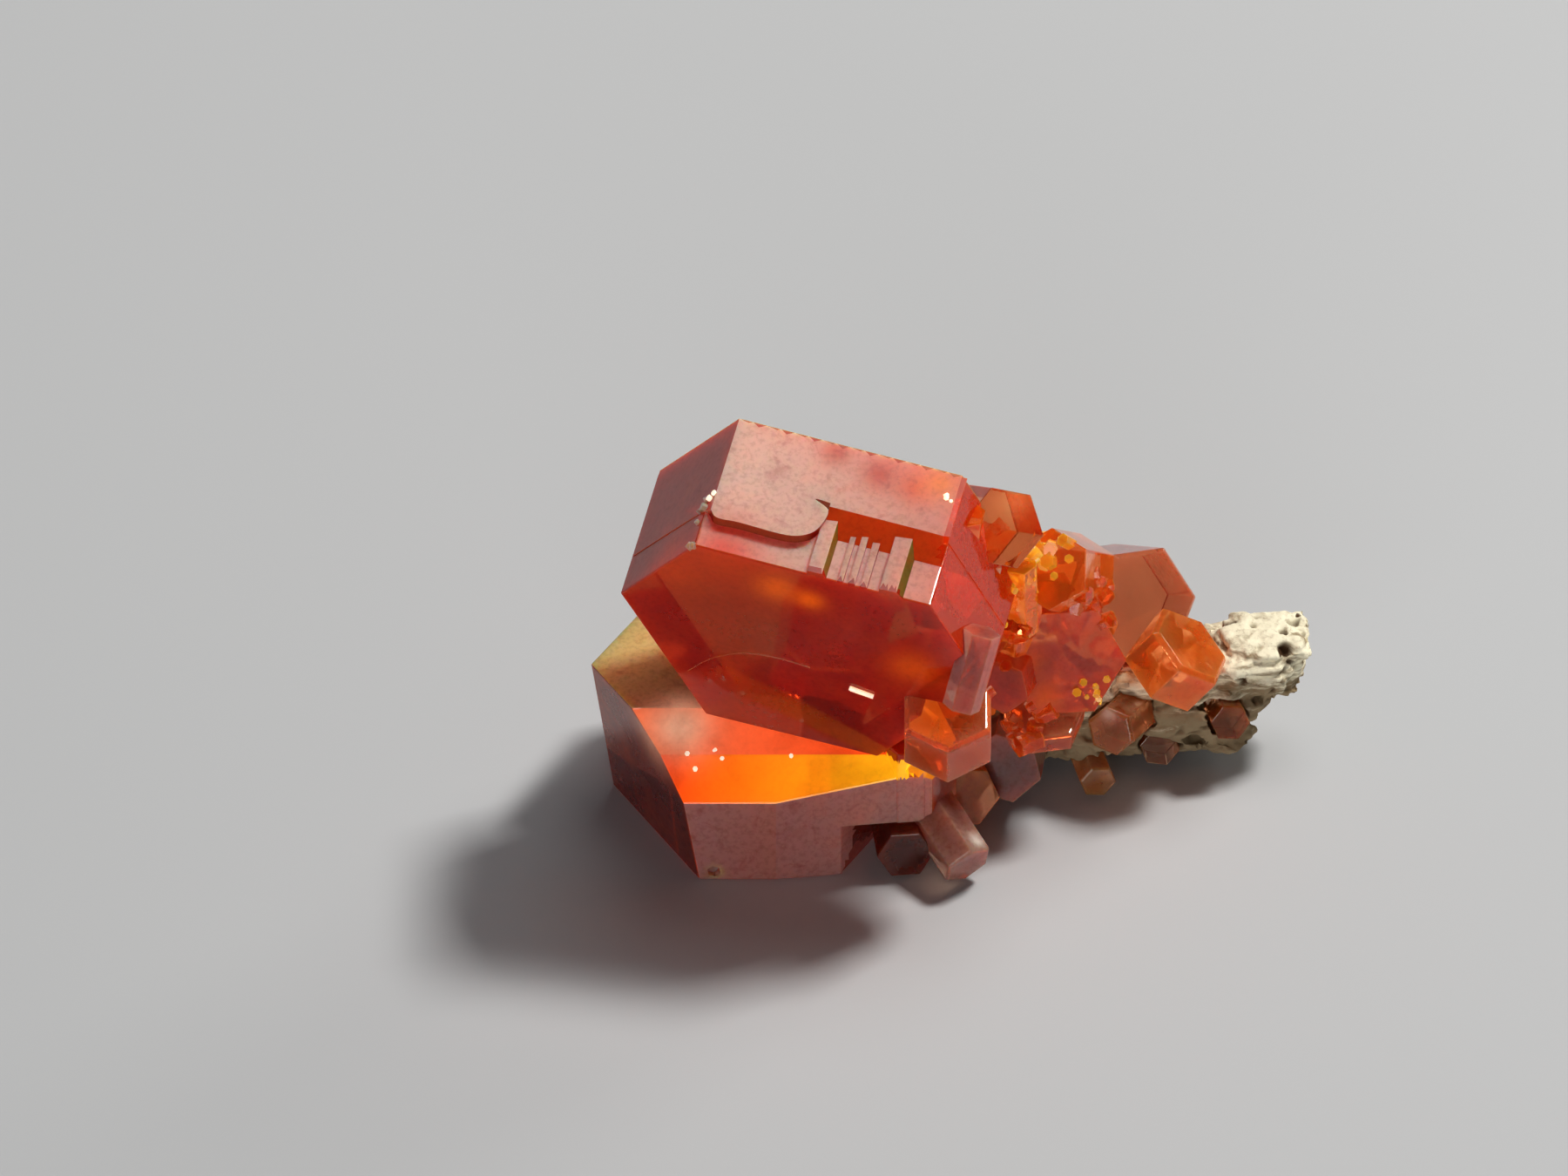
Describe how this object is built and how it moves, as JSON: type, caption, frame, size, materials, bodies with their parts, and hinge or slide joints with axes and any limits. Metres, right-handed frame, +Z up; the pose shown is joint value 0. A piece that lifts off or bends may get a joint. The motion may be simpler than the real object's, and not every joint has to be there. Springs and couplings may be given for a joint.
{
  "type": "vanadinite on matrix",
  "caption": "Small mineral specimen: a thick red vanadinite tablet leaning over an upright prism, with a crust of smaller orange crystals on a stub of pale rock.",
  "frame": {"origin": "middle of the footprint of the bounding box, on the surface that the specimen stands on", "axes": "+Z up, +X along the specimen from the large crystals to the bare rock tip, -Y towards the front, where the end face of the tablet looks"},
  "size_m": [0.0122, 0.0068, 0.0083],
  "materials": {
    "red_crystal": "glossy natural crystal faces, red with orange thin edges",
    "brown_crystal": "glossy small crystals, orange brown",
    "pale_rock": "rough porous layered rock, cream with brown hollows"
  },
  "bodies": {
    "root": {"crystal_cluster": "red_crystal", "matrix": "pale_rock", "bright_crystal": "brown_crystal", "low_crystal": "brown_crystal", "brown_crystal_left": "brown_crystal", "brown_crystal_right": "brown_crystal", "back_crystal": "brown_crystal"}
  },
  "joints": []
}
